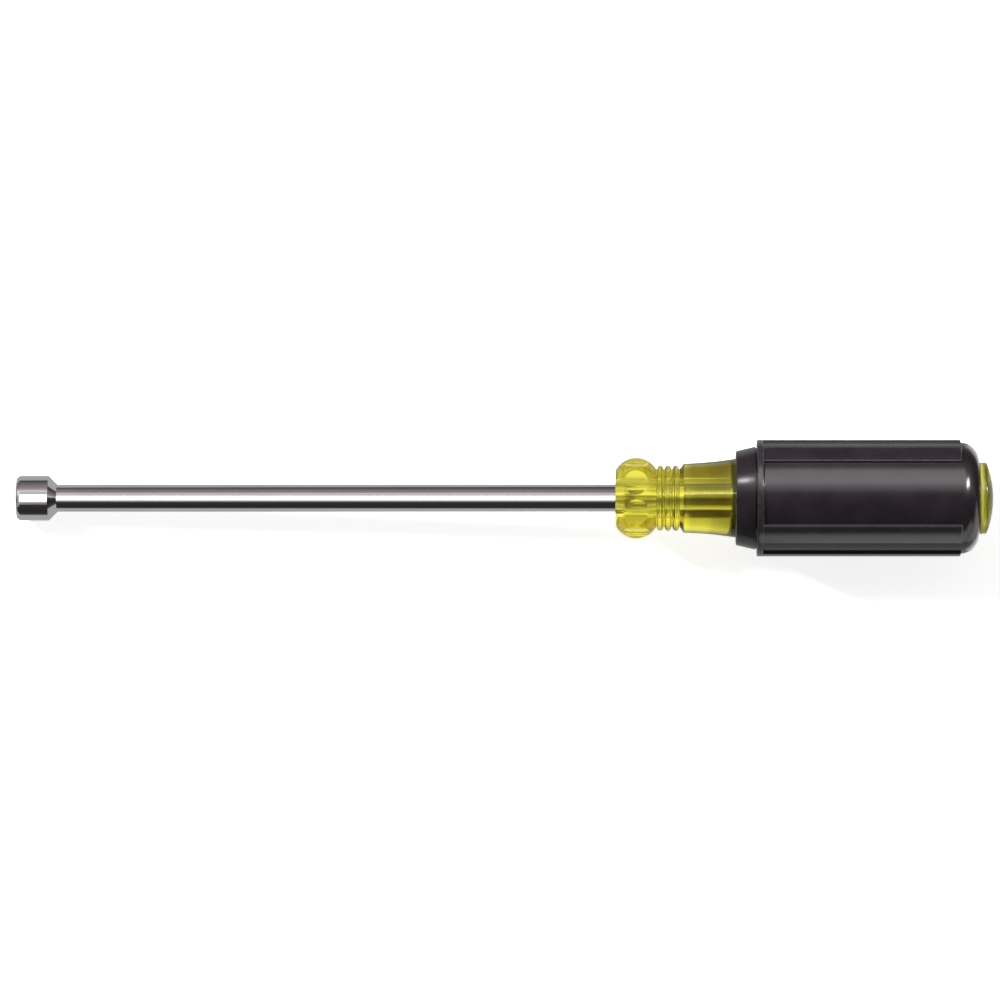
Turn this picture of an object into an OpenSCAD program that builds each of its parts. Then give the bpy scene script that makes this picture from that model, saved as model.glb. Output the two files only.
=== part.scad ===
// Hollow-shaft nut driver: a steel socket and tube, a clear moulded handle, a soft sleeve and an end cap.
// Millimetres. The shaft lies along +X with the socket's mouth at the origin. +Z is up, as the driver lies.

/* [Socket] */
// Size of the hex socket across its flats
hex_af = 8.05; // [6:0.05:8.2]
// Depth of the hex socket, down to the end of the shaft
hex_depth = 7; // [5:0.5:8]
// Outside diameter of the socket
socket_d = 11.45; // [11.4:0.05:14]
// Length of the socket's straight part
socket_l = 8.1; // [8:0.1:12]
// Length of the cone behind the straight part
socket_cone_l = 2.1; // [1.5:0.1:4]
// Bevel on the socket's front edge
socket_bevel = 0.6; // [0.2:0.05:0.7]
// Width of the bevel that leads a nut into the hex
hex_lead = 0.35; // [0.1:0.05:0.4]
// Thickness of the lip where the cone meets the shaft
socket_lip = 0.12; // [0.05:0.01:0.4]

/* [Shaft] */
// Distance from the socket's mouth to the handle's front face
shaft_reach = 152.4; // [75:0.1:200]
// Outside diameter of the hollow shaft
shaft_d = 6.95; // [6:0.05:7.4]
// Diameter of the stud clearance bore
bore_d = 4.4; // [3:0.1:5]
// Bevel at the bore's mouth
bore_lead = 0.4; // [0.1:0.1:0.5]
// Length of the shaft inside the handle
shaft_embed = 73; // [55:1:80]
// Length of the two anchor wings at the shaft's tail
wing_l = 14; // [8:1:20]
// Width across the two anchor wings
wing_w = 12.5; // [9:0.5:16]
// Thickness of the anchor wings
wing_t = 2.2; // [1.5:0.1:4]
// Length of plain shaft behind the wings
tail_stub_l = 3; // [1:0.5:6]
// Thickness of the wall that closes the bore
bore_end_t = 4; // [2:0.5:8]

/* [Handle core] */
// Largest diameter of the bolster
bolster_d = 20.5; // [19:0.1:24]
// Radius of the bolster's rounded outline
bolster_curve_r = 6; // [5.6:0.1:7]
// Distance from the handle's front face to the bolster's widest place
bolster_front_l = 5.3; // [4.5:0.1:5.4]
// Radius of the bolster's front edge
bolster_edge_r = 0.6; // [0.2:0.05:0.8]
// Number of thumb scallops round the bolster
scallop_count = 8; // [6:1:10]
// Radius across each scallop
scallop_r = 15; // [10:0.5:25]
// Depth of each scallop at the bolster's widest place
scallop_depth = 0.9; // [0.3:0.05:1.1]
// Turn of the scallops about the shaft, from straight up towards +Y
scallop_roll = 24.5; // [0:0.5:45]
// Number of rings behind the bolster
ring_count = 3; // [2:1:4]
// Distance from one ring to the next
ring_pitch = 1.975; // [1.8:0.025:2.2]
// Radius of each ring's round section
ring_bead_r = 0.8; // [0.5:0.05:0.85]
// Diameter over the rings
ring_d = 16.6; // [16.2:0.1:17.4]
// Diameter at the bottom of the grooves between the rings
groove_d = 14.75; // [14:0.05:15.5]
// Length of the bevel in front of the neck
neck_bevel_l = 1; // [0.5:0.1:2]
// Diameter at the front of the neck
neck_d = 17.6; // [16.8:0.1:18.6]
// Diameter where the neck enters the sleeve
mouth_d = 20.1; // [19:0.1:21]
// Length of the neck in front of the sleeve
neck_l = 13.2; // [8:0.1:25]
// Length of the ramp up to the core's full radius
core_ramp_l = 4; // [2:0.5:8]
// Length of the rear boss that passes through the sleeve's back
boss_l = 6; // [4:0.5:9]
// Number of keyways along the core
keyway_count = 6; // [4:1:8]
// Radius of each keyway's round section
keyway_r = 2; // [1.5:0.1:2.5]
// Depth of each keyway
keyway_depth = 0.9; // [0.4:0.1:1.2]
// Plain length left at each end of the keyways
keyway_inset_l = 6; // [4:1:12]

/* [Sleeve] */
// Length of the sleeve from its mouth to its rear face
grip_l = 61.75; // [50:0.05:80]
// Diameter of the sleeve's panels
grip_d = 28.3; // [27.5:0.1:32]
// Thickness of the sleeve over the core
grip_wall = 3.6; // [2.5:0.1:4]
// Thickness of the sleeve at its mouth
mouth_wall = 1.9; // [1:0.1:2.2]
// Length of the tapered collar at the mouth
collar_l = 5.35; // [3:0.05:9]
// Growth of the collar's radius along its length
collar_rise = 1.25; // [0.5:0.05:1.4]
// Radius of the collar's front edge
collar_edge_r = 0.4; // [0.1:0.05:0.8]
// Thickness of the flange behind the collar
flange_t = 1.7; // [1:0.1:4]
// Height of the flange above the panels
flange_h = 0.67; // [0.4:0.01:1]
// Height of the ribs above the panels
rib_h = 0.65; // [0.3:0.01:1]
// Width of each rib
rib_w = 5.65; // [3:0.05:7]
// Angle between neighbouring ribs
rib_pitch = 45; // [40:1:50]
// Distance from the ribs' ends to the sleeve's rear face
rib_end_l = 4.7; // [4:0.1:8]
// Radius of the sleeve's rear edge
grip_edge_r = 4.85; // [2:0.05:4.95]
// Turn of the upper panel about the shaft, from straight up towards +Y
grip_roll = 5.4; // [-20:0.1:20]

/* [End cap] */
// Diameter of the end cap and of the core's rear boss
cap_d = 18.15; // [16:0.05:18.4]
// Height of the end cap's straight rim
cap_rim_l = 1.8; // [1:0.05:3]
// Height of the end cap's dome above its rim
cap_rise = 1.7; // [0.8:0.05:3]
// Radius of the edge between the end cap's rim and its dome
cap_edge_r = 0.6; // [0.2:0.05:0.9]
// Diameter of the spigot that holds the end cap
spigot_d = 8; // [5:0.1:12]
// Length of the spigot
spigot_l = 7; // [4:0.5:9]
// Distance that the core's rear face stands out of the sleeve
butt_proud = 0.1; // [0.05:0.05:0.5]

/* [Fits] */
// Radial gap that the braze fills between shaft and socket
braze_gap = 0.03; // [0.01:0.01:0.1]
// Radial gap between the shaft and the core moulded round it
mould_gap = 0.02; // [0.01:0.01:0.1]
// Radial gap between the core and the sleeve
grip_gap = 0.03; // [0.01:0.01:0.1]
// Radial gap round the end cap's spigot
spigot_gap = 0.04; // [0.01:0.01:0.1]
// Free depth behind the end cap's spigot
spigot_relief = 0.5; // [0.2:0.1:2]

/* [Hidden] */

$fn = 96;
// Length by which a cut runs past the face that it opens
overrun = 1;
hex_sides = 6;
// Places of the ribs on each side of a panel's middle, in steps of rib_pitch: the two panels fill steps 0 and 4
rib_steps = [1, 2, 3];
// Straight pieces in one rounded stretch of an outline
bolster_arc_steps = 24;
bead_arc_steps = 10;
edge_arc_steps = 6;
neck_steps = 10;

hex_corner_r = hex_af / 2 / cos(180 / hex_sides);
socket_r = socket_d / 2;
shaft_r = shaft_d / 2;
shaft_start = hex_depth;
shaft_end = shaft_reach + shaft_embed;
wing_start = shaft_end - tail_stub_l - wing_l;
bore_end = wing_start - bore_end_t;

bolster_r = bolster_d / 2;
bolster_curve_from_axis = bolster_r - bolster_curve_r;
bolster_mid = shaft_reach + bolster_front_l;
groove_r = groove_d / 2;
// The bolster's outline runs down into the first groove
bolster_groove_angle = asin((groove_r - bolster_curve_from_axis) / bolster_curve_r);
bolster_end = bolster_mid + bolster_curve_r * cos(bolster_groove_angle);
ring_bead_from_axis = ring_d / 2 - ring_bead_r;
first_ring = bolster_end + ring_pitch / 2;
rings_end = bolster_end + ring_count * ring_pitch;
neck_start = rings_end + neck_bevel_l;
neck_r = neck_d / 2;
mouth = neck_start + neck_l;
mouth_r = mouth_d / 2;
grip_r = grip_d / 2;
core_r = grip_r - grip_wall;
cap_r = cap_d / 2;
grip_end = mouth + grip_l;
butt = grip_end + butt_proud;
core_shoulder = butt - boss_l;
keyway_start = mouth + keyway_inset_l;
keyway_end = core_shoulder - keyway_inset_l;

collar_front_r = mouth_r + mouth_wall;
collar_end = mouth + collar_l;
flange_end = collar_end + flange_t;
flange_r = grip_r + flange_h;
rib_r = grip_r + rib_h;
rib_end = grip_end - rib_end_l;

cap_dome_r = (cap_r ^ 2 + cap_rise ^ 2) / (2 * cap_rise);
cap_rim_end = butt + cap_rim_l;
cap_end = cap_rim_end + cap_rise;
spigot_r = spigot_d / 2;

// Points on an arc about a centre given as [radius from the axis, place along it]
function arc(centre, r, from, to, steps) =
    [for (i = [0 : steps]) let (a = from + (to - from) * i / steps) centre + r * [sin(a), -cos(a)]];

// The same points without the first, for an arc that carries on from the outline's last point
function arc_on(centre, r, from, to, steps) =
    let (points = arc(centre, r, from, to, steps)) [for (i = [1 : steps]) points[i]];

// The neck's outline, which starts level and flares ever faster
function neck_point(along_share) =
    [neck_r + (mouth_r - neck_r) * along_share ^ 2, neck_start + neck_l * along_share];

// Outline of one ring, from groove to groove
function ring_outline(place) = concat(
    [[groove_r, place - ring_bead_r]],
    arc([ring_bead_from_axis, place], ring_bead_r, 0, 180, bead_arc_steps),
    [[groove_r, place + ring_bead_r]]
);

// Stands a shape that was modelled along +Z on the shaft's line
module along_shaft() {
    rotate([0, 90, 0]) children();
}

// Turns a shape that points along its own +X to an angle from straight up towards +Y
module facing(angle) {
    rotate([0, 0, 180 - angle]) children();
}

// A round bar on the shaft's line from one place to another
module bar(r, from, to) {
    translate([0, 0, from]) cylinder(r = r, h = to - from);
}

module hex_socket() {
    cone_end = socket_l + socket_cone_l;
    // The bevel's cone runs from outside the hex's corners to inside its flats
    hex_mouth_r = hex_corner_r + hex_lead;
    hex_throat_r = hex_af / 2 - hex_lead;
    color([0.76, 0.76, 0.78]) along_shaft() difference() {
        rotate_extrude() polygon([
            [0, 0],
            [socket_r - socket_bevel, 0],
            [socket_r, socket_bevel],
            [socket_r, socket_l],
            [shaft_r + socket_lip, cone_end],
            [0, cone_end]
        ]);
        translate([0, 0, -overrun])
            cylinder(r = hex_corner_r, h = hex_depth + overrun, $fn = hex_sides);
        translate([0, 0, -overrun])
            cylinder(r1 = hex_mouth_r + overrun, r2 = hex_throat_r, h = hex_mouth_r - hex_throat_r + overrun);
        bar(shaft_r + braze_gap, hex_depth - overrun, cone_end + overrun);
    }
}

// The shaft with its anchor wings, grown on every side by a gap
module shaft_body(gap) {
    bar(shaft_r + gap, shaft_start, shaft_end + gap);
    translate([-wing_w / 2 - gap, -wing_t / 2 - gap, wing_start - gap])
        cube([wing_w + 2 * gap, wing_t + 2 * gap, wing_l + 2 * gap]);
}

module hollow_shaft() {
    bore_r = bore_d / 2;
    color([0.78, 0.78, 0.8]) along_shaft() difference() {
        shaft_body(0);
        bar(bore_r, shaft_start - overrun, bore_end);
        translate([0, 0, shaft_start - overrun])
            cylinder(r1 = bore_r + bore_lead + overrun, r2 = bore_r, h = bore_lead + overrun);
    }
}

// Round grooves cut along the core, or the keys of the sleeve that fill them
module keyways(gap) {
    for (i = [0 : keyway_count - 1])
        rotate([0, 0, i * 360 / keyway_count])
            translate([core_r - keyway_depth + keyway_r, 0, 0])
                bar(keyway_r - gap, keyway_start + gap, keyway_end - gap);
}

module scallops() {
    for (i = [0 : scallop_count - 1])
        facing(scallop_roll + i * 360 / scallop_count)
            translate([bolster_r - scallop_depth + scallop_r, 0, 0])
                bar(scallop_r, shaft_reach - overrun, bolster_end);
}

module handle_core() {
    // Where the bolster's rounded outline and its rounded front edge meet
    edge_from_axis = bolster_curve_from_axis
        + sqrt((bolster_curve_r - bolster_edge_r) ^ 2 - (bolster_front_l - bolster_edge_r) ^ 2);
    edge_angle = atan2(edge_from_axis - bolster_curve_from_axis, bolster_front_l - bolster_edge_r);
    color([0.87, 0.83, 0.2, 0.8]) along_shaft() difference() {
        rotate_extrude() polygon(concat(
            [[0, shaft_reach]],
            arc([edge_from_axis, shaft_reach + bolster_edge_r], bolster_edge_r, 0, edge_angle, edge_arc_steps),
            arc_on([bolster_curve_from_axis, bolster_mid], bolster_curve_r,
                edge_angle, 180 - bolster_groove_angle, bolster_arc_steps),
            [for (i = [0 : ring_count - 1]) each ring_outline(first_ring + i * ring_pitch)],
            [[groove_r, rings_end]],
            [for (i = [0 : neck_steps]) neck_point(i / neck_steps)],
            [
                [core_r, mouth + core_ramp_l],
                [core_r, core_shoulder],
                [cap_r, core_shoulder],
                [cap_r, butt],
                [0, butt]
            ]
        ));
        scallops();
        keyways(0);
        shaft_body(mould_gap);
        bar(spigot_r + spigot_gap, butt - spigot_l - spigot_relief, butt + overrun);
    }
}

// The space inside the sleeve, which follows the core
module core_space() {
    difference() {
        rotate_extrude() polygon([
            [0, mouth - overrun],
            [mouth_r + grip_gap, mouth - overrun],
            [mouth_r + grip_gap, mouth],
            [core_r + grip_gap, mouth + core_ramp_l],
            [core_r + grip_gap, core_shoulder + grip_gap],
            [cap_r + grip_gap, core_shoulder + grip_gap],
            [cap_r + grip_gap, grip_end + overrun],
            [0, grip_end + overrun]
        ]);
        keyways(grip_gap);
    }
}

module ribs() {
    intersection() {
        bar(rib_r, collar_end, rib_end);
        for (side = [0, 180], step = rib_steps)
            facing(grip_roll + side + step * rib_pitch)
                translate([0, -rib_w / 2, collar_end])
                    cube([rib_r + overrun, rib_w, rib_end - collar_end]);
    }
}

module cushion_grip() {
    edge_r = min(grip_edge_r, grip_r - cap_r);
    color([0.13, 0.125, 0.13]) along_shaft() difference() {
        union() {
            rotate_extrude() polygon(concat(
                [[0, mouth]],
                arc([collar_front_r - collar_edge_r, mouth + collar_edge_r], collar_edge_r, 0, 90, edge_arc_steps),
                [
                    [collar_front_r + collar_rise, collar_end],
                    [flange_r, collar_end],
                    [flange_r, flange_end],
                    [grip_r, flange_end]
                ],
                arc([grip_r - edge_r, grip_end - edge_r], edge_r, 90, 180, bead_arc_steps),
                [[0, grip_end]]
            ));
            ribs();
        }
        core_space();
    }
}

module end_cap() {
    // Where the rounded edge meets the dome
    dome_centre = cap_end - cap_dome_r;
    edge_from_axis = cap_r - cap_edge_r;
    edge_place = dome_centre + sqrt((cap_dome_r - cap_edge_r) ^ 2 - edge_from_axis ^ 2);
    dome_angle = 180 - asin(edge_from_axis / (cap_dome_r - cap_edge_r));
    color([0.72, 0.76, 0.16, 0.8]) along_shaft() rotate_extrude() polygon(concat(
        [
            [0, butt - spigot_l],
            [spigot_r, butt - spigot_l],
            [spigot_r, butt],
            [cap_r, butt]
        ],
        arc([edge_from_axis, edge_place], cap_edge_r, 90, dome_angle, edge_arc_steps),
        arc_on([0, dome_centre], cap_dome_r, dome_angle, 180, bead_arc_steps)
    ));
}

hex_socket();
hollow_shaft();
handle_core();
cushion_grip();
end_cap();
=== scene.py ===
import math

import bmesh
import bpy
import numpy as np
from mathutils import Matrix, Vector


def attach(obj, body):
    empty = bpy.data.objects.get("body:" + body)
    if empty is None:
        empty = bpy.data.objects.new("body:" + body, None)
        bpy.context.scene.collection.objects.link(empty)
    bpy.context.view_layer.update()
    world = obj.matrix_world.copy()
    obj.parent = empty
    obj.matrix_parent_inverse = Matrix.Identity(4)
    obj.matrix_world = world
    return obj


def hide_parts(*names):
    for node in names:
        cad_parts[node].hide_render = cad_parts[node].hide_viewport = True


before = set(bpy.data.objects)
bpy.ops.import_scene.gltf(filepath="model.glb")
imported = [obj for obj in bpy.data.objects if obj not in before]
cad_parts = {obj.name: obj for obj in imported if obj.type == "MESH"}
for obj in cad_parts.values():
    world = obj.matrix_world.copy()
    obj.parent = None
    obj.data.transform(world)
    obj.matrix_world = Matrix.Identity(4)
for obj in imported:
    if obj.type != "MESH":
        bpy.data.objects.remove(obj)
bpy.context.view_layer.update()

MM = 0.001

# Sizes in millimetres, as in the solids: the socket
HEX_AF = 8.05
HEX_DEPTH = 7.0
HEX_LEAD = 0.35
SOCKET_R = 5.725
SOCKET_L = 8.1
CONE_L = 2.1
SOCKET_BEVEL = 0.6
SOCKET_LIP = 0.12

# The shaft
REACH = 152.4
SHAFT_EMBED = 73.0
SHAFT_R = 3.475
BORE_R = 2.2
BORE_LEAD = 0.4
BORE_END_T = 4.0
WING_L = 14.0
WING_HALF_W = 6.25
WING_HALF_T = 1.1
TAIL_STUB_L = 3.0

# The clear handle
BOLSTER_R = 10.25
BOLSTER_CURVE_R = 6.0
BOLSTER_FRONT_L = 5.3
BOLSTER_EDGE_R = 0.6
SCALLOPS = 8
SCALLOP_R = 15.0
SCALLOP_DEPTH = 0.9
SCALLOP_ROLL = 24.5
RINGS = 3
RING_PITCH = 1.975
RING_BEAD_R = 0.8
RING_R = 8.3
GROOVE_R = 7.375
NECK_BEVEL = 1.0
NECK_R = 8.8
NECK_L = 13.2
MOUTH_R = 10.05
CORE_RAMP = 4.0
BOSS_L = 6.0
BUTT_PROUD = 0.1

# The sleeve
PANEL_R = 14.15
GRIP_L = 61.75
GRIP_WALL = 3.6
GRIP_EDGE_R = 4.85
GRIP_ROLL = 5.4
MOUTH_WALL = 1.9
COLLAR_L = 5.35
COLLAR_RISE = 1.25
FLANGE_T = 1.7
FLANGE_H = 0.67
RIB_H = 0.65
RIB_W = 5.65
RIB_ANGLES = (45, 90, 135, 225, 270, 315)
RIB_END_L = 4.7

# The end cap
CAP_R = 9.075
CAP_RIM = 1.8
CAP_RISE = 1.7
CAP_EDGE_R = 0.6
SPIGOT_R = 4.0
SPIGOT_L = 7.0

# Fits. What is moulded on to another piece overlaps it a little, so that no air shows between them
BRAZE_GAP = 0.03
SPIGOT_GAP = 0.04
SPIGOT_RELIEF = 0.5
CAP_GAP = 0.03
BORE_OVERLAP = 0.05
TAIL_OVERLAP = 0.1
CORE_OVERLAP = 0.04
BOSS_OVERLAP = 0.02
FLOOR_GAP = 0.02

# Fine edges
TAIL_BEVEL = 0.3
SCALLOP_EDGE = 0.1
RING_FOOT_R = 0.12
RIB_EDGE_R = 0.14
RIB_FOOT_R = 0.05
RIB_END_EDGE_R = 0.25
RIB_END_FOOT_R = 0.12
FLANGE_EDGE_R = 0.42
FLANGE_FOOT_R = 0.25

# Paler lines on the sleeve: wear and painted highlight along the ribs' edges and ends, and painted highlight
# on the flange. How far inside an edge a line lies, how wide it is, and how pale the flange is
RIB_WEAR_HIGHLIGHT_INSET = 0.3
RIB_WEAR_HIGHLIGHT_W = 0.16
RIB_END_WEAR_HIGHLIGHT_INSET = 0.15
RIB_END_WEAR_HIGHLIGHT_W = 0.22
FLANGE_HIGHLIGHT_INSET = 0.2
FLANGE_HIGHLIGHT_W = 0.2
FLANGE_FRONT_HIGHLIGHT = 0.35
FLANGE_TOP_HIGHLIGHT = 0.25

# Places along the shaft, measured from the socket's mouth, and radii that follow from the sizes
CONE_END = SOCKET_L + CONE_L
CONE_END_R = SHAFT_R + SOCKET_LIP
SHAFT_END = REACH + SHAFT_EMBED
WING_END = SHAFT_END - TAIL_STUB_L
WING_START = WING_END - WING_L
BORE_END = WING_START - BORE_END_T
BOLSTER_MID = REACH + BOLSTER_FRONT_L
CURVE_FROM_AXIS = BOLSTER_R - BOLSTER_CURVE_R
GROOVE_ANGLE = math.asin((GROOVE_R - CURVE_FROM_AXIS) / BOLSTER_CURVE_R)
BOLSTER_END = BOLSTER_MID + BOLSTER_CURVE_R * math.cos(GROOVE_ANGLE)
RINGS_END = BOLSTER_END + RINGS * RING_PITCH
NECK_START = RINGS_END + NECK_BEVEL
MOUTH = NECK_START + NECK_L
CORE_R = PANEL_R - GRIP_WALL
COLLAR_R = MOUTH_R + MOUTH_WALL
COLLAR_END = MOUTH + COLLAR_L
FLANGE_END = COLLAR_END + FLANGE_T
FLANGE_R = PANEL_R + FLANGE_H
GRIP_END = MOUTH + GRIP_L
GRIP_EDGE_START = GRIP_END - GRIP_EDGE_R
GRIP_EDGE_FROM_AXIS = PANEL_R - GRIP_EDGE_R
RIB_END = GRIP_END - RIB_END_L
BUTT = GRIP_END + BUTT_PROUD
SHOULDER = BUTT - BOSS_L
CAP_END = BUTT + CAP_RIM + CAP_RISE


# Outlines: lists of (place along the shaft, radius)


def arc(place, from_axis, radius, start, end, steps):
    """Points on an arc; 0 degrees faces the socket, 90 outwards and 180 the handle's end."""
    angles = np.radians(np.linspace(start, end, steps + 1))
    return [(place - radius * math.cos(a), from_axis + radius * math.sin(a)) for a in angles]


def rounded(corners, steps=6):
    """An outline through corners given as (place, radius, rounding of that corner)."""
    longest_share = 0.49
    points = []
    for i, (place, radius, rounding) in enumerate(corners):
        here = np.array((place, radius), float)
        if rounding == 0 or i in (0, len(corners) - 1):
            points.append(tuple(here))
            continue
        back = np.array(corners[i - 1][:2], float) - here
        on = np.array(corners[i + 1][:2], float) - here
        back_l = np.linalg.norm(back)
        on_l = np.linalg.norm(on)
        back = back / back_l
        on = on / on_l
        half = math.acos(np.clip(back @ on, -1, 1)) / 2
        reach = min(rounding / math.tan(half), longest_share * back_l, longest_share * on_l)
        bend = reach * math.tan(half)
        middle = (back + on) / np.linalg.norm(back + on)
        centre = here + middle * bend / math.sin(half)
        first = (here + back * reach - centre) / bend
        last = (here + on * reach - centre) / bend
        whole = math.acos(np.clip(first @ last, -1, 1))
        for t in np.linspace(0, 1, steps + 1):
            spoke = (math.sin((1 - t) * whole) * first + math.sin(t * whole) * last) / math.sin(whole)
            points.append(tuple(centre + bend * spoke))
    return points


def spread(start, end, step):
    """Places from start to end, about a step apart."""
    return np.linspace(start, end, max(2, int(round(abs(end - start) / step)) + 1))


def round_step(past, top, foot):
    """1 before an edge and 0 behind it: a round top of one radius runs into a hollow foot of another."""
    height = top + foot
    over = np.clip(past + top, 0, top)
    under = np.clip(foot - past, 0, foot)
    upper = height - top + np.sqrt(np.maximum(top ** 2 - over ** 2, 0))
    lower = foot - np.sqrt(np.maximum(foot ** 2 - under ** 2, 0))
    return np.where(past < 0, upper, lower) / height


def soft_min(a, b, blend):
    """The smaller of two lengths, with the edge between them rounded."""
    share = np.clip(0.5 + (b - a) / (2 * blend), 0, 1)
    return b + (a - b) * share - blend * share * (1 - share)


def bell(distance, width):
    """1 on a line, falling away on both sides of it."""
    return np.exp(-((distance / width) ** 2))


# Meshes


def even_turns(count):
    """Angles once round the shaft, from straight up towards +Y."""
    return np.linspace(0, 2 * math.pi, count, endpoint=False)


def from_middle(turns, angle):
    """How far each turn is from an angle in degrees, between -pi and pi."""
    return (turns - math.radians(angle) + math.pi) % (2 * math.pi) - math.pi


def drop_empty_faces(mesh):
    """Takes out the faces without area that are left where two rows run together."""
    together = 0.0001 * MM
    grid = bmesh.new()
    grid.from_mesh(mesh)
    bmesh.ops.dissolve_degenerate(grid, dist=together, edges=grid.edges)
    grid.to_mesh(mesh)
    grid.free()


def turned(name, rows, turns, material, node, shut=False):
    """A piece whose rows of points go round the shaft. A row is (place, radius), each of them one number or
    one per turn, and a radius of 0 is a point on the axis. Shut, the last row meets the first."""
    sharp_angle = 32
    side = np.sin(turns)
    up = np.cos(turns)
    points = []
    loops = []
    for place, radius in rows:
        first = len(points)
        if np.ndim(radius) == 0 and radius == 0:
            points.append((place * MM, 0, 0))
        else:
            places = np.broadcast_to(place, side.shape) * MM
            points.extend(zip(places, radius * side * MM, radius * up * MM))
        loops.append(range(first, len(points)))
    faces = []
    following = loops[1:] + (loops[:1] if shut else [])
    for a, b in zip(loops, following):
        for j in range(len(turns)):
            k = (j + 1) % len(turns)
            if len(a) == 1:
                faces.append((a[0], b[j], b[k]))
            elif len(b) == 1:
                faces.append((a[j], b[0], a[k]))
            else:
                faces.append((a[j], b[j], b[k], a[k]))
    mesh = bpy.data.meshes.new(name)
    mesh.from_pydata(points, [], faces)
    drop_empty_faces(mesh)
    mesh.polygons.foreach_set("use_smooth", np.ones(len(mesh.polygons), bool))
    mesh.set_sharp_from_angle(angle=math.radians(sharp_angle))
    mesh.materials.append(material)
    piece = bpy.data.objects.new(name, mesh)
    bpy.context.scene.collection.objects.link(piece)
    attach(piece, "root")
    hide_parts(node)
    return piece


def mark(piece, name, values):
    """Gives each point of a piece a number that its material reads."""
    attribute = piece.data.attributes.new(name, "FLOAT", "POINT")
    attribute.data.foreach_set("value", np.asarray(values, np.float32))


def mark_inside(piece, count):
    """Marks the first points of a piece, which lie inside it."""
    mark(piece, "inside", np.arange(len(piece.data.vertices)) < count)


# Materials


class Nodes:
    """A node tree under construction."""

    def __init__(self, tree):
        self.nodes = tree.nodes
        self.links = tree.links

    def join(self, source, target):
        self.links.new(source, target)

    def split(self, vector):
        """The three parts of a vector."""
        parts = self.nodes.new("ShaderNodeSeparateXYZ")
        self.join(vector, parts.inputs["Vector"])
        return parts.outputs["X"], parts.outputs["Y"], parts.outputs["Z"]

    def number(self, value, low, high, start=0.3, end=0.7):
        """A number that runs from low to high as the value runs from start to end."""
        node = self.nodes.new("ShaderNodeMapRange")
        node.interpolation_type = "SMOOTHSTEP"
        node.inputs["From Min"].default_value = start
        node.inputs["From Max"].default_value = end
        node.inputs["To Min"].default_value = low
        node.inputs["To Max"].default_value = high
        self.join(value, node.inputs["Value"])
        return node.outputs["Result"]

    def calc(self, a, operation, b):
        """Two values put together, each of them a number or a node's output."""
        node = self.nodes.new("ShaderNodeMath")
        node.operation = operation
        for socket, value in zip(node.inputs, (a, b)):
            if isinstance(value, (int, float)):
                socket.default_value = value
            else:
                self.join(value, socket)
        return node.outputs["Value"]

    def colour(self, share, first, second):
        """A colour between two, each of them three numbers or a node's output."""
        node = self.nodes.new("ShaderNodeMix")
        node.data_type = "RGBA"
        for name, value in (("A_Color", first), ("B_Color", second)):
            socket = next(s for s in node.inputs if s.identifier == name)
            if isinstance(value, tuple):
                socket.default_value = (*value, 1)
            else:
                self.join(value, socket)
        self.join(share, next(s for s in node.inputs if s.identifier == "Factor_Float"))
        return next(s for s in node.outputs if s.identifier == "Result_Color")

    def ramp(self, value, stops):
        """A grey or a colour that changes between stops of (value, level) or (value, red, green, blue)."""
        start = stops[0][0]
        end = stops[-1][0]
        share = self.nodes.new("ShaderNodeMapRange")
        share.inputs["From Min"].default_value = start
        share.inputs["From Max"].default_value = end
        self.join(value, share.inputs["Value"])
        node = self.nodes.new("ShaderNodeValToRGB")
        elements = node.color_ramp.elements
        while len(elements) < len(stops):
            elements.new(0.5)
        for element, (place, *level) in zip(elements, stops):
            element.position = (place - start) / (end - start)
            element.color = (*(level * 3)[:3], 1)
        self.join(share.outputs["Result"], node.inputs["Fac"])
        return node.outputs["Color"]


class Look(Nodes):
    """A node material under construction. Texture coordinates are the part's own, in millimetres."""

    def __init__(self, name):
        self.material = bpy.data.materials.new(name)
        self.material.use_nodes = True
        super().__init__(self.material.node_tree)
        self.shader = self.nodes["Principled BSDF"]
        self.output = self.nodes["Material Output"]
        self.object_coords = self.nodes.new("ShaderNodeTexCoord").outputs["Object"]

    def coords(self, stretch=(1, 1, 1)):
        mapping = self.nodes.new("ShaderNodeMapping")
        mapping.inputs["Scale"].default_value = [s / MM for s in stretch]
        self.join(self.object_coords, mapping.inputs["Vector"])
        return mapping.outputs["Vector"]

    def place(self):
        """Distance along the shaft from the socket's mouth."""
        return self.split(self.coords())[0]

    def noise(self, grain, detail=3, stretch=(1, 1, 1)):
        """Noise whose blotches are about grain millimetres across."""
        texture = self.nodes.new("ShaderNodeTexNoise")
        texture.inputs["Scale"].default_value = 1 / grain
        texture.inputs["Detail"].default_value = detail
        self.join(self.coords(stretch), texture.inputs["Vector"])
        return texture.outputs["Fac"]

    def along(self, grain, detail=2):
        """Noise that only changes along the shaft, as turning marks do."""
        texture = self.nodes.new("ShaderNodeTexNoise")
        texture.noise_dimensions = "1D"
        texture.inputs["Scale"].default_value = 1 / grain
        texture.inputs["Detail"].default_value = detail
        self.join(self.place(), texture.inputs["W"])
        return texture.outputs["Fac"]

    def attribute(self, name):
        """The number that each point of the piece is marked with."""
        node = self.nodes.new("ShaderNodeAttribute")
        node.attribute_name = name
        return node.outputs["Fac"]

    def bump(self, height, depth, below=None):
        """Relief of a depth in millimetres, on top of another relief."""
        node = self.nodes.new("ShaderNodeBump")
        node.inputs["Strength"].default_value = 1
        node.inputs["Distance"].default_value = depth * MM
        self.join(height, node.inputs["Height"])
        if below is not None:
            self.join(below, node.inputs["Normal"])
        return node.outputs["Normal"]

    def set(self, **values):
        """Sets the shader's sockets, each to a number, a colour or a node's output."""
        for name, value in values.items():
            socket = self.shader.inputs[name.replace("_", " ")]
            if isinstance(value, (int, float)):
                socket.default_value = value
            elif isinstance(value, tuple):
                socket.default_value = (*value, 1)
            else:
                self.join(value, socket)


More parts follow.
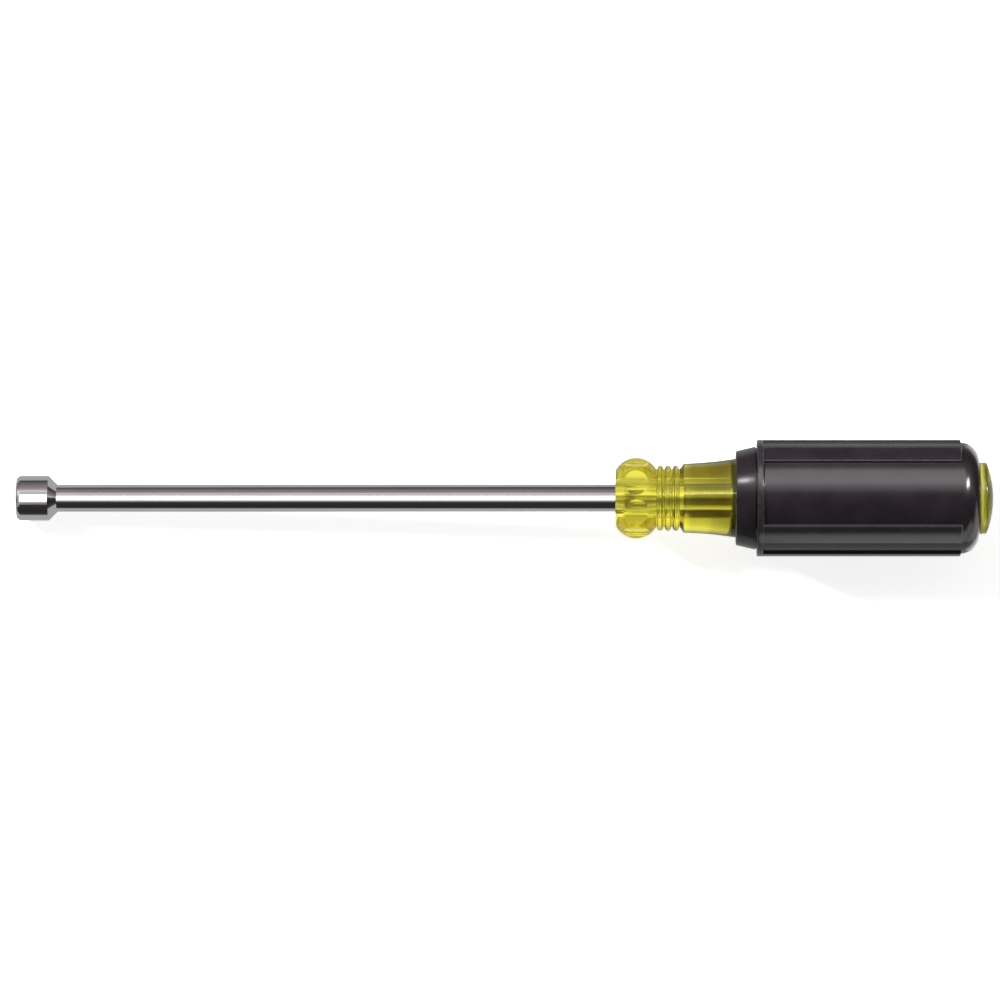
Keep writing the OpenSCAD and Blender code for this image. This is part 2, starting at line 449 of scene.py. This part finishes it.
def bright_plate(name):
    """Nickel-chrome plate: mirror-like, with faint turning marks and smears of handling, duller inside."""
    look = Look(name)
    smear = look.noise(9, 4, (0.5, 1, 1))
    marks = look.along(0.11, 3)
    pits = look.noise(0.35, 2)
    inside = look.attribute("inside")
    plate = look.colour(look.number(smear, 0, 1), (0.74, 0.73, 0.745), (0.69, 0.675, 0.69))
    rough = look.calc(look.number(smear, 0.045, 0.11), "ADD", look.number(marks, 0, 0.035))
    look.set(
        Base_Color=look.colour(inside, plate, (0.36, 0.345, 0.34)),
        Metallic=1.0,
        Roughness=look.calc(rough, "ADD", look.calc(inside, "MULTIPLY", 0.22)),
        Normal=look.bump(marks, 0.0012, look.bump(pits, 0.0008)),
    )
    return look.material


def clear_plastic(name, pale, deep, absorbed, density, clear, cloud):
    """Clear moulded acetate: tinted, a little wavy, with the finest scuffs. Away from its polished stretch
    it is cloudy as moulded, by shares given along the tool."""
    look = Look(name)
    dull = look.ramp(look.place(), cloud)
    flow = look.noise(7, 3, (0.4, 1, 1))
    wave = look.noise(2.6, 2, (0.6, 1, 1))
    scuff = look.noise(0.5, 5)
    look.set(
        Base_Color=look.colour(look.number(flow, 0, 1), pale, deep),
        Roughness=look.calc(look.number(scuff, 0.012, 0.05, 0.45, 0.8), "ADD", dull),
        IOR=1.48,
        Transmission_Weight=look.calc(clear, "SUBTRACT", dull),
        Normal=look.bump(wave, 0.03),
    )
    volume = look.nodes.new("ShaderNodeVolumeAbsorption")
    volume.inputs["Color"].default_value = (*absorbed, 1)
    volume.inputs["Density"].default_value = density
    look.join(volume.outputs["Volume"], look.output.inputs["Volume"])
    return look.material


def satin_vinyl(name):
    """Soft black vinyl: satin, with a fine moulded grain, greyer along its marked edges: partly wear where
    hands rub them, partly a painted highlight where light catches them.
    """
    look = Look(name)
    grain = look.noise(0.16, 3)
    cloud = look.noise(6, 4)
    dust = look.noise(0.7, 6)
    body = look.colour(look.number(cloud, 0, 1), (0.009, 0.0068, 0.0086), (0.0125, 0.0096, 0.012))
    # Paler along the marked edges: partly wear, partly a painted highlight
    wear_and_highlight = look.calc(look.attribute("edge"), "MULTIPLY", look.number(dust, 0.35, 0.85, 0.35, 0.65))
    look.set(
        Base_Color=look.colour(wear_and_highlight, body, (0.036, 0.033, 0.035)),
        Roughness=look.calc(look.number(cloud, 0.2, 0.21), "ADD", look.number(grain, 0, 0.03)),
        IOR=1.5,
        Normal=look.bump(grain, 0.004, look.bump(cloud, 0.004)),
    )
    return look.material


chrome = bright_plate("bright_plate")
yellow = clear_plastic(
    "clear_yellow_acetate",
    pale=(0.96, 0.93, 0.13),
    deep=(0.94, 0.89, 0.1),
    absorbed=(0.97, 0.9, 0.3),
    density=44,
    clear=0.99,
    cloud=((RINGS_END, 0.03), (NECK_START, 0), (MOUTH - 3, 0), (MOUTH - 1, 0.022)),
)
green = clear_plastic(
    "clear_cap_acetate",
    pale=(0.76, 0.75, 0.13),
    deep=(0.62, 0.6, 0.07),
    absorbed=(0.86, 0.86, 0.3),
    density=90,
    clear=0.97,
    cloud=((BUTT + 0.2, 0.5), (BUTT + 0.8, 0.2), (BUTT + 1.3, 0)),
)
vinyl = satin_vinyl("black_vinyl")


# The socket


def hex_r(turns):
    """Distance from the axis to the hex, whose corners point up and down."""
    return HEX_AF / 2 / np.cos(turns % (math.pi / 3) - math.pi / 6)


def make_socket():
    turns = even_turns(360)
    flat = hex_r(turns)
    floor_bevel = 0.12
    rim_bevel = 0.02
    mouth_r = HEX_AF / 2 / math.cos(math.pi / 6) + HEX_LEAD
    seat_r = SHAFT_R + BRAZE_GAP
    rows = [
        (CONE_END, seat_r),
        (HEX_DEPTH, seat_r),
        (HEX_DEPTH, flat - floor_bevel),
        (HEX_DEPTH - floor_bevel, flat),
        (mouth_r - flat, flat),
    ]
    inside_rows = len(rows)
    rows.append((rim_bevel, mouth_r))
    # The front bevel is a curve through three corners
    rows += rounded(
        [
            (0, mouth_r + rim_bevel, 0),
            (0, SOCKET_R - SOCKET_BEVEL, 0.15),
            (0.7 * SOCKET_BEVEL, SOCKET_R - 0.35 * SOCKET_BEVEL, 0.7),
            (1.5 * SOCKET_BEVEL, SOCKET_R, 1.0),
            (SOCKET_L, SOCKET_R, 0.25),
            (CONE_END, CONE_END_R, 0),
        ]
    )
    piece = turned("socket", rows, turns, chrome, "hex_socket", shut=True)
    mark_inside(piece, inside_rows * len(turns))
    return piece


# The shaft


def make_shaft():
    turns = even_turns(240)
    front_bevel = 0.2
    row_step = 4
    nearly_zero = 1e-6
    wing = np.minimum(
        WING_HALF_W / np.maximum(np.abs(np.cos(turns)), nearly_zero),
        WING_HALF_T / np.maximum(np.abs(np.sin(turns)), nearly_zero),
    )
    wing = np.maximum(wing, SHAFT_R)
    bore = [(BORE_END, BORE_R), (HEX_DEPTH + BORE_LEAD, BORE_R), (HEX_DEPTH, BORE_R + BORE_LEAD)]
    rows = [(BORE_END, 0)] + bore
    rows += [(HEX_DEPTH, SHAFT_R - front_bevel), (HEX_DEPTH + front_bevel, SHAFT_R)]
    rows += [(x, SHAFT_R) for x in spread(CONE_END, WING_START, row_step)]
    rows += [(WING_START, wing), (WING_END, wing), (WING_END, SHAFT_R)]
    rows += [(SHAFT_END - TAIL_BEVEL, SHAFT_R), (SHAFT_END, SHAFT_R - TAIL_BEVEL), (SHAFT_END, 0)]
    piece = turned("shaft", rows, turns, chrome, "hollow_shaft")
    mark_inside(piece, 1 + len(bore) * len(turns))
    return piece


# The clear handle


def scallop_r(turns):
    """Distance from the axis to the nearest scallop, which is round across."""
    centre = BOLSTER_R - SCALLOP_DEPTH + SCALLOP_R
    pitch = 2 * math.pi / SCALLOPS
    off = (turns - math.radians(SCALLOP_ROLL) + pitch / 2) % pitch - pitch / 2
    return centre * np.cos(off) - np.sqrt(SCALLOP_R ** 2 - (centre * np.sin(off)) ** 2)


def bolster_outline():
    """The bolster's front edge, and its barrel as far as the first groove."""
    front = BOLSTER_MID - REACH - BOLSTER_EDGE_R
    rise = math.sqrt((BOLSTER_CURVE_R - BOLSTER_EDGE_R) ** 2 - front ** 2)
    edge_angle = math.degrees(math.atan2(rise, front))
    groove_angle = 180 - math.degrees(GROOVE_ANGLE)
    edge = arc(REACH + BOLSTER_EDGE_R, CURVE_FROM_AXIS + rise, BOLSTER_EDGE_R, 0, edge_angle, 8)
    barrel = arc(BOLSTER_MID, CURVE_FROM_AXIS, BOLSTER_CURVE_R, edge_angle, groove_angle, 90)
    return edge + barrel[1:-1]


def ring_outline(middle):
    """One ring's bead, with half of the groove on each side of it."""
    foot_steps = 4
    half = RING_PITCH / 2
    bead = arc(middle, RING_R - RING_BEAD_R, RING_BEAD_R, 0, 180, 16)
    before = [(middle - half, GROOVE_R, 0), (middle - RING_BEAD_R, GROOVE_R, RING_FOOT_R), (*bead[0], 0)]
    behind = [(*bead[-1], 0), (middle + RING_BEAD_R, GROOVE_R, RING_FOOT_R), (middle + half, GROOVE_R, 0)]
    return rounded(before, foot_steps) + bead[1:-1] + rounded(behind, foot_steps)[:-1]


def neck_outline():
    """The flared neck, the core inside the sleeve, and the boss with its hole for the spigot."""
    straight_share = 0.25
    hole_r = SPIGOT_R + SPIGOT_GAP
    hole_end = BUTT - SPIGOT_L - SPIGOT_RELIEF
    corners = [(RINGS_END, GROOVE_R, 0), (NECK_START, NECK_R, 0.35)]
    for t in np.linspace(0, 1, 17)[1:]:
        flare = straight_share * t + (1 - straight_share) * t ** 2
        corners.append((NECK_START + NECK_L * t, NECK_R + (MOUTH_R - NECK_R) * flare, 0))
    corners += [
        (MOUTH + CORE_RAMP, CORE_R, 0.5),
        (SHOULDER, CORE_R, 0.2),
        (SHOULDER, CAP_R, 0.2),
        (BUTT, CAP_R, 0.15),
        (BUTT, hole_r, 0),
    ]
    return rounded(corners) + [(hole_end, hole_r), (hole_end, 0)]


def make_handle():
    turns = even_turns(720)
    row_step = 6
    bore_r = SHAFT_R - BORE_OVERLAP
    bore_end = SHAFT_END - TAIL_OVERLAP
    cut = scallop_r(turns)
    rows = [(bore_end, 0), (bore_end, bore_r)]
    rows += [(x, bore_r) for x in spread(bore_end - TAIL_BEVEL, REACH, row_step)]
    rows += [(x, soft_min(np.full_like(cut, r), cut, SCALLOP_EDGE)) for x, r in bolster_outline()]
    for i in range(RINGS):
        rows += ring_outline(BOLSTER_END + (i + 0.5) * RING_PITCH)
    rows += neck_outline()
    return turned("handle", rows, turns, yellow, "handle_core")


# The sleeve


def rib_section():
    """Half of a rib's section: distances round the panel from the rib's middle, and shares of its height."""
    past_foot = 1
    top = math.asin(RIB_W / 2 / (PANEL_R + RIB_H)) * PANEL_R
    foot = math.asin(RIB_W / 2 / PANEL_R) * PANEL_R
    corners = [(0, RIB_H, 0), (top, RIB_H, RIB_EDGE_R), (foot, 0, RIB_FOOT_R), (foot + past_foot, 0, 0)]
    across, height = np.array(rounded(corners, 8)).T
    return across, height / RIB_H


def rib_turns():
    """Turns for the sleeve: even ones, and close ones at the ribs' edges."""
    closest = 0.0002
    across = rib_section()[0][1:-1] / PANEL_R
    turns = [even_turns(180)]
    for angle in RIB_ANGLES:
        middle = math.radians(angle + GRIP_ROLL)
        turns += [middle + across, middle - across]
    turns = np.sort(np.concatenate(turns) % (2 * math.pi))
    keep = np.append(np.diff(turns) > closest, True)
    return turns[keep]


def rib_lines(turns):
    """For each turn, the share of a rib's height there, and how pale it is along the ribs' edges, for wear
    and painted highlight.
    """
    share = np.zeros_like(turns)
    edge_wear_and_highlight = np.zeros_like(turns)
    for angle in RIB_ANGLES:
        off = np.abs(from_middle(turns, angle + GRIP_ROLL)) * PANEL_R
        share = np.maximum(share, np.interp(off, *rib_section()))
        edge_wear_and_highlight = np.maximum(edge_wear_and_highlight, bell(off - RIB_W / 2 + RIB_WEAR_HIGHLIGHT_INSET, RIB_WEAR_HIGHLIGHT_W))
    return share, edge_wear_and_highlight


def collar_outline():
    """The tapered collar, the notch behind it and the flange's front, as far as the flange's middle."""
    collar_end_r = COLLAR_R + COLLAR_RISE
    notch_w = 0.35
    notch_floor_w = 0.28
    notch_depth = 0.4
    notch_dip = 0.08
    return rounded(
        [
            (MOUTH, MOUTH_R - CORE_OVERLAP, 0),
            (MOUTH, COLLAR_R, 0.45),
            (COLLAR_END - notch_w, collar_end_r - notch_dip, 0.08),
            (COLLAR_END - notch_floor_w, collar_end_r - notch_depth, 0.06),
            (COLLAR_END, collar_end_r - notch_depth, 0.06),
            (COLLAR_END, FLANGE_R, 0.3),
            (COLLAR_END + FLANGE_T / 2, FLANGE_R, 0),
        ]
    )


def panel_places():
    """Places behind the flange's middle, close together where the flange and the ribs end."""
    row_step = 2.5
    flange_step = 0.25
    edge_step = 0.035
    return np.concatenate(
        [
            spread(COLLAR_END + FLANGE_T / 2 + 0.2, FLANGE_END - 0.5, flange_step),
            spread(FLANGE_END - 0.45, FLANGE_END + 0.25, edge_step),
            spread(FLANGE_END + 0.6, RIB_END - 0.7, row_step),
            spread(RIB_END - 0.5, RIB_END + 0.22, edge_step),
        ]
    )


def panel_r(place, rib_share):
    """Distance from the axis to the flange, the ribs or the panels between them, for each turn."""
    flange = FLANGE_H * round_step(place - FLANGE_END, FLANGE_EDGE_R, FLANGE_FOOT_R)
    rib = RIB_H * rib_share * round_step(place - RIB_END, RIB_END_EDGE_R, RIB_END_FOOT_R)
    base = PANEL_R
    if place > GRIP_EDGE_START:
        base = GRIP_EDGE_FROM_AXIS + math.sqrt(GRIP_EDGE_R ** 2 - (place - GRIP_EDGE_START) ** 2)
    return base + np.maximum(flange, rib)


def panel_wear_and_highlight(place, rib_share, rib_wear_and_highlight):
    """How pale the flange's rim, the ribs' edges and the ribs' ends are, for each turn: a painted highlight
    on the flange, and wear with a painted highlight on the ribs.
    """
    rim = FLANGE_TOP_HIGHLIGHT
    if place >= FLANGE_END - 2 * FLANGE_HIGHLIGHT_W:
        rim = bell(place - FLANGE_END + FLANGE_HIGHLIGHT_INSET, FLANGE_HIGHLIGHT_W)
    end = bell(place - RIB_END + RIB_END_WEAR_HIGHLIGHT_INSET, RIB_END_WEAR_HIGHLIGHT_W) * rib_share
    side = rib_wear_and_highlight if FLANGE_END + FLANGE_HIGHLIGHT_W < place < RIB_END else 0
    return np.maximum(np.maximum(side, end), rim)


def sleeve_inside():
    """The inside, which hugs the handle, from its bevelled rear edge to the collar."""
    bevel_h = 0.1
    bevel_l = 0.08
    row_step = 6
    boss_r = CAP_R - BOSS_OVERLAP
    core_r = CORE_R - CORE_OVERLAP
    rows = [(GRIP_END, CAP_R + bevel_h), (GRIP_END - bevel_l, boss_r)]
    rows += [(SHOULDER - CORE_OVERLAP, boss_r), (SHOULDER - CORE_OVERLAP, core_r)]
    rows += [(x, core_r) for x in spread(SHOULDER - 0.5, MOUTH + CORE_RAMP, row_step)]
    return rows


def make_sleeve():
    turns = rib_turns()
    rib_share, rib_wear_and_highlight = rib_lines(turns)
    flange_points = 8
    least_gap = 0.05
    collar = collar_outline()
    places = panel_places()
    back = arc(GRIP_EDGE_START, GRIP_EDGE_FROM_AXIS, GRIP_EDGE_R, 90, 180, 40)
    back = [point for point in back if point[0] > places[-1] + least_gap]
    inside = sleeve_inside()
    rows = collar + [(place, panel_r(place, rib_share)) for place in places] + back + inside
    # The flange's front is paler as a painted highlight; the lines on the ribs are wear and painted
    # highlight
    edge_wear_and_highlight = [0.0] * (len(collar) - flange_points) + [FLANGE_FRONT_HIGHLIGHT] * flange_points
    edge_wear_and_highlight += [panel_wear_and_highlight(place, rib_share, rib_wear_and_highlight) for place in places]
    edge_wear_and_highlight += [0.0] * len(back + inside)
    piece = turned("sleeve", rows, turns, vinyl, "cushion_grip", shut=True)
    mark(piece, "edge", np.concatenate([np.broadcast_to(wear_and_highlight, turns.shape) for wear_and_highlight in edge_wear_and_highlight]))
    return piece


# The end cap


def make_cap():
    turns = even_turns(360)
    base = BUTT + CAP_GAP
    seat_edge_l = 0.5
    spigot_end_r = 0.5
    dome_r = (CAP_R ** 2 + CAP_RISE ** 2) / (2 * CAP_RISE)
    dome_centre = CAP_END - dome_r
    edge_from_axis = CAP_R - CAP_EDGE_R
    edge_place = dome_centre + math.sqrt((dome_r - CAP_EDGE_R) ** 2 - edge_from_axis ** 2)
    dome_angle = 180 - math.degrees(math.asin(edge_from_axis / (dome_r - CAP_EDGE_R)))
    rows = [(BUTT - SPIGOT_L, 0)]
    rows += rounded(
        [
            (BUTT - SPIGOT_L, spigot_end_r, 0),
            (BUTT - SPIGOT_L, SPIGOT_R, 0.4),
            (base, SPIGOT_R, 0.1),
            (base, CAP_R, 0.2),
            (base + seat_edge_l, CAP_R, 0),
        ]
    )
    rows += arc(edge_place, edge_from_axis, CAP_EDGE_R, 90, dome_angle, 10)
    rows += arc(dome_centre, 0, dome_r, dome_angle, 180, 32)[1:-1]
    rows += [(CAP_END, 0)]
    return turned("cap", rows, turns, green, "end_cap")


socket = make_socket()
shaft = make_shaft()
handle = make_handle()
sleeve = make_sleeve()
cap = make_cap()


# The floor, which touches the socket and the sleeve's flange


def floor_look():
    """White to the camera. In mirror images and through the plastic it glows instead with painted light and
    painted shade, in place of the lit and shadowed stretches of a studio table. Distances along and across
    the tool are in millimetres."""
    look = Look("floor")
    path = look.nodes.new("ShaderNodeLightPath")
    along, across, _ = look.split(look.coords())
    refracted = path.outputs["Is Transmission Ray"]
    # Through the plastic it glows with painted light and painted shade: bright under the bolster, and a
    # painted shadow on the neck's side away from the key
    bolster = look.ramp(across, (
        (-60, 0.85), (-30, 0.85), (-15, 1.5), (-11, 1.5), (-9, 1), (-5, 0.8), (-3, 0.5), (0, 0.45),
        (1, 0.6), (2.2, 0.9), (4, 1), (6, 0.85), (12, 0.8), (40, 0.85), (60, 0.6),
    ))
    rings = look.ramp(across, (
        (-60, 1.3), (-14, 1.9), (-8, 1.6), (-5, 1), (-3, 0.5), (-0.5, 0.45), (0.5, 1), (1.5, 1.5),
        (4, 1.6), (6, 1.2), (12, 0.8), (40, 0.85), (60, 0.6),
    ))
    front = look.colour(look.number(along, 0, 1, 159.5, 161.5), bolster, rings)
    neck = look.ramp(across, (
        (-40, 0.13, 0.1, 0.09), (-10, 0.15, 0.115, 0.1), (-9, 0.45), (-7.5, 0.45),
        (-6.5, 0.27, 0.225, 0.22), (-1, 0.27, 0.225, 0.22), (0, 0.4), (2, 0.75), (3.5, 0.98), (6, 0.9),
        (8, 0.55), (20, 0.55), (40, 0.75), (58, 0.6), (64, 0.35), (70, 0.35),
    ))
    # A painted shadow of the sleeve, darker towards it
    neck = look.colour(look.number(along, 0, 0.35, 170, 186), neck, (0, 0, 0))
    through = look.colour(look.number(along, 0, 1, 168, 173), front, neck)
    # Mirrored: a glowing white strip under the tool, a painted reflection of a lit table, darker to either
    # side and painted dark past the handle's end. Refracted rays count as glossy too, so they are taken out
    not_refracted = look.calc(1, "SUBTRACT", refracted)
    mirrored = look.calc(path.outputs["Is Glossy Ray"], "MULTIPLY", not_refracted)
    strip = look.ramp(across, ((-95, 0.08), (-70, 0.5), (36, 0.5), (48, 0.08)))
    strip = look.colour(look.number(along, 0, 0.9, 255, 270), strip, (0, 0, 0))
    # Otherwise white paper, which also glows to the camera, so that the shadows on it stay faint
    white = 0.85
    unlit = look.calc(look.calc(mirrored, "ADD", refracted), "MULTIPLY", white)
    look.set(Base_Color=look.calc(white, "SUBTRACT", unlit), Roughness=0.9, Specular_IOR_Level=0.0)
    shown = look.colour(path.outputs["Is Camera Ray"], (0, 0, 0), (white, white, white))
    shown = look.colour(refracted, shown, through)
    glow = look.nodes.new("ShaderNodeEmission")
    look.join(look.colour(mirrored, shown, strip), glow.inputs["Color"])
    both = look.nodes.new("ShaderNodeAddShader")
    look.join(look.shader.outputs["BSDF"], both.inputs[0])
    look.join(glow.outputs["Emission"], both.inputs[1])
    look.join(both.outputs["Shader"], look.output.inputs["Surface"])
    return look.material


def make_floor():
    """A sheet that slopes as the tool lies on it, and falls away beyond a ridge in front of the socket."""
    foot_x = SOCKET_BEVEL
    foot_z = -SOCKET_R - FLOOR_GAP
    heel_x = COLLAR_END
    heel_z = -FLANGE_R - FLOOR_GAP
    slope = (heel_z - foot_z) / (heel_x - foot_x)
    ridge = -60.0
    softness = 8.0
    half_width = 3000
    far_before = np.linspace(-half_width, -300, 10)
    near = np.linspace(-250, 500, 76)
    far_behind = np.linspace(600, half_width, 10)

    def height(x):
        return slope * (math.hypot(x - ridge, softness) - math.hypot(foot_x - ridge, softness)) + foot_z

    points = []
    faces = []
    for i, x in enumerate(np.concatenate([far_before, near, far_behind])):
        points += [(x * MM, -half_width * MM, height(x) * MM), (x * MM, half_width * MM, height(x) * MM)]
        if i:
            a = 2 * i
            faces.append((a - 2, a, a + 1, a - 1))
    mesh = bpy.data.meshes.new("floor")
    mesh.from_pydata(points, [], faces)
    mesh.polygons.foreach_set("use_smooth", np.ones(len(faces), bool))
    mesh.materials.append(floor_look())
    floor = bpy.data.objects.new("floor", mesh)
    bpy.context.scene.collection.objects.link(floor)


make_floor()


# Studio light


def softbox(name, place, aim, size, radiance, mirrored=True, through=True, lit=()):
    """A rectangular lamp of even brightness, in metres, turned to face a point. It can be left out of
    mirror images or of what is seen through the plastic, and can light a few pieces only."""
    lamp = bpy.data.lights.new(name, "AREA")
    lamp.shape = "RECTANGLE"
    lamp.size, lamp.size_y = size
    lamp.energy = 4 * size[0] * size[1] * radiance
    box = bpy.data.objects.new(name, lamp)
    box.location = place
    facing = np.array(aim) - np.array(place)
    box.rotation_mode = "QUATERNION"
    box.rotation_quaternion = Vector(facing).to_track_quat("-Z", "Y")
    box.visible_camera = False
    box.visible_glossy = mirrored
    box.visible_transmission = through
    if lit:
        pieces = bpy.data.collections.new(name)
        for piece in lit:
            pieces.objects.link(piece)
        box.light_linking.receiver_collection = pieces
    bpy.context.scene.collection.objects.link(box)


def steel_box(name, place, aim, size, radiance, lit=(socket, shaft)):
    softbox(name, place, aim, size, radiance, lit=lit)


def grip_box(name, place, aim, size, radiance, mirrored=True, lit=(sleeve, cap)):
    softbox(name, place, aim, size, radiance, mirrored=mirrored, through=False, lit=lit)


# One lamp lights everything. Each of the others lights, or is mirrored in, a few pieces only
softbox("key", (-0.43, 0.35, 0.475), (0.165, 0, -0.013), (0.2, 0.16), 112.0, mirrored=False, through=False)

steel_box("over_shaft", (-0.05, 0.025, 1.0), (-0.05, 0.025, 0), (0.6, 0.65), 1.8)
steel_box("over_shaft_rim", (-0.05, -0.36, 1.0), (-0.05, -0.36, 0), (0.6, 0.12), 0.55)
steel_box("over_shaft_edge", (-0.05, -0.535, 1.0), (-0.05, -0.535, 0), (0.6, 0.23), 0.2)
steel_box("socket_front", (-0.45, 0, 0.45), (0, 0, 0), (1.0, 0.9), 0.25, lit=(socket,))

softbox("over_neck", (0.15, 0.268, 1.0), (0.15, 0, 0), (0.7, 0.09), 4.0, through=False, lit=(handle,))

grip_box("over_handle", (0.28, 0.492, 0.497), (0.24, 0, 0), (0.52, 0.44), 2.0)
grip_box("over_handle_rim", (0.28, 0.245, 0.656), (0.24, 0, 0), (0.52, 0.16), 0.7)
grip_box("over_cap", (0.27, 0.25, 0.5), (0.246, 0, 0.008), (0.1, 0.1), 32.0, mirrored=False, lit=(cap,))
softbox("front_left", (-0.15, 0.52, 0.53), (0.19, 0, 0.01), (0.1, 0.1), 30.0, lit=(sleeve, cap))
softbox("behind_end", (0.593, 0.279, 0.404), (0.24, 0, 0.01), (0.1, 0.16), 50.0, lit=(sleeve, cap))
grip_box("near_side", (0.29, -0.36, 0.03), (0.22, 0, 0), (0.24, 0.14), 1.4)
grip_box("near_table", (0.23, -0.2, -0.0147), (0.23, -0.2, 1), (0.08, 0.2), 1.5)
grip_box("low_corner", (0.45, -0.25, 0.05), (0.24, 0, 0), (0.15, 0.1), 1.3, lit=(sleeve,))
grip_box("table_end", (0.2545, 0, -0.0168), (0.2545, 0, 1), (0.016, 0.06), 0.8, lit=(sleeve,))
grip_box("table_corner", (0.42, -0.132, -0.0185), (0.42, -0.132, 1), (0.3, 0.237), 1.0, lit=(sleeve,))


def make_world():
    """White to the camera, a dim room to what it lights and to mirrors, and brighter through the plastic."""
    world = bpy.data.worlds.new("studio")
    bpy.context.scene.world = world
    world.use_nodes = True
    sky = Nodes(world.node_tree)
    path = sky.nodes.new("ShaderNodeLightPath")
    x, y, z = sky.split(sky.nodes.new("ShaderNodeTexCoord").outputs["Generated"])
    # The angle across the shaft in degrees, from the dark side through straight up to the light side
    angle = sky.calc(sky.calc(y, "ARCTAN2", z), "MULTIPLY", 180 / math.pi)
    room = sky.ramp(angle, (
        (-90, 0.05, 0.044, 0.047), (-76, 0.03, 0.026, 0.028), (-40, 0.04, 0.035, 0.037),
        (-12, 0.05, 0.044, 0.047), (14, 0.1), (22, 0.5), (26, 0.57), (36, 0.86), (42, 0.6),
        (48, 0.416, 0.368, 0.384), (60, 0.302, 0.267, 0.278), (75, 0.218, 0.193, 0.202),
        (90, 0.146, 0.129, 0.134),
    ))
    # What the neck refracts, and what the rounder forms beside it do
    neck = sky.ramp(angle, (
        (-90, 0.13, 0.1, 0.08), (-84, 0.16, 0.13, 0.11), (-79, 0.75), (-73, 0.97), (-62, 0.62), (-54, 0.46),
        (-48, 0.2, 0.17, 0.15), (-42, 0.12, 0.095, 0.08), (-28, 0.12, 0.095, 0.08),
        (-17, 0.075, 0.055, 0.045), (-6, 0.075, 0.055, 0.045), (2, 0.17, 0.15, 0.13), (8, 0.34), (16, 0.37),
        (23, 0.47), (30, 0.77), (38, 1), (44, 0.8), (52, 0.44), (62, 0.32), (75, 0.24), (90, 0.32),
    ))
    bolster = sky.ramp(angle, (
        (-90, 0.95), (-78, 1.1), (-64, 0.9), (-52, 0.65), (-42, 0.42), (-15, 0.24), (-4, 0.42), (4, 0.62),
        (12, 1), (22, 1.7), (30, 1.7), (42, 1.35), (58, 1.15), (72, 0.8), (90, 1.05),
    ))
    aside = sky.calc(sky.number(x, 1, 0, 0.01, 0.04), "ADD", sky.number(x, 0, 1, 0.2, 0.3))
    through = sky.colour(aside, neck, bolster)
    shown = sky.colour(path.outputs["Is Transmission Ray"], room, through)
    shown = sky.colour(path.outputs["Is Camera Ray"], shown, (1, 1, 1))
    sky.join(shown, sky.nodes["Background"].inputs["Color"])


make_world()


# The camera looks down on the driver from above the handle's front. Lengths are in metres

CAMERA_AIM_X = 0.12305
CAMERA_AIM_Y = -0.00048
CAMERA_DISTANCE = 1.6524
CAMERA_TURN = math.radians(1.3)

lens = bpy.data.cameras.new("camera")
lens.lens = 233.84
camera = bpy.data.objects.new("camera", lens)
camera.location = (
    CAMERA_AIM_X + CAMERA_DISTANCE * math.sin(CAMERA_TURN),
    CAMERA_AIM_Y,
    CAMERA_DISTANCE * math.cos(CAMERA_TURN),
)
camera.rotation_euler = (0, CAMERA_TURN, 0)
bpy.context.scene.collection.objects.link(camera)
bpy.context.scene.camera = camera
bpy.context.scene.view_settings.view_transform = "Standard"

# Light is thrown back many times inside the clear plastic before it comes out
bounces = bpy.context.scene.cycles
bounces.max_bounces = 24
bounces.glossy_bounces = 24
bounces.transmission_bounces = 24
